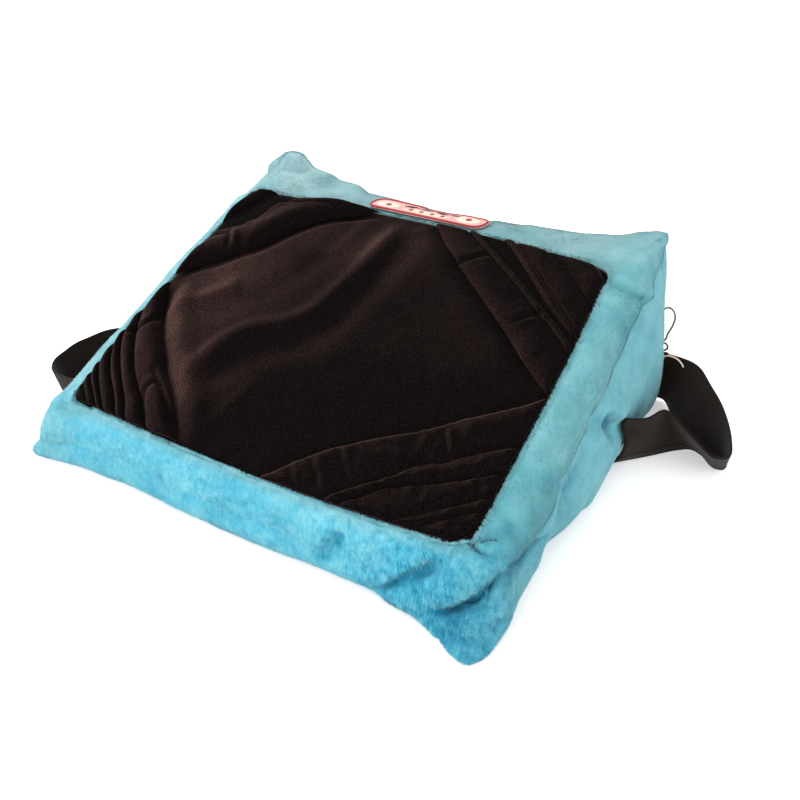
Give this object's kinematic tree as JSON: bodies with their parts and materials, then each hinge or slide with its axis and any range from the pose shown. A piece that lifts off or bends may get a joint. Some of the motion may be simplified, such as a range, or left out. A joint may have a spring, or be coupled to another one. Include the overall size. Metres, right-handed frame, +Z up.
{
  "type": "tablet pillow",
  "caption": "stuffed plush wedge that holds a tablet upright, with a pleated pocket at each corner of its sloped face, a strap loop at each side and a small wire hook",
  "frame": {"origin": "the middle of the flat base, which rests on the surface", "axes": "+X runs to the right along the low front edge, +Y runs back to the tall side, +Z is up"},
  "size_m": [0.4678, 0.2992, 0.1443],
  "materials": {
    "blue_plush": "short soft pile",
    "brown_plush": "short soft pile with a low sheen",
    "patch_thread": "embroidered",
    "webbing": "ribbed webbing",
    "dark_steel": "dark, worn"
  },
  "bodies": {
    "root": {"cushion": "blue_plush", "centre_panel": "brown_plush", "pocket_near_left": "brown_plush", "pocket_near_right": "brown_plush", "pocket_far_right": "brown_plush", "pocket_far_left": "brown_plush", "patch": "patch_thread", "strap_right": "webbing", "strap_left": "webbing", "hook_tab": "webbing", "hook_ring": "dark_steel", "hook_wire": "dark_steel"}
  },
  "joints": []
}
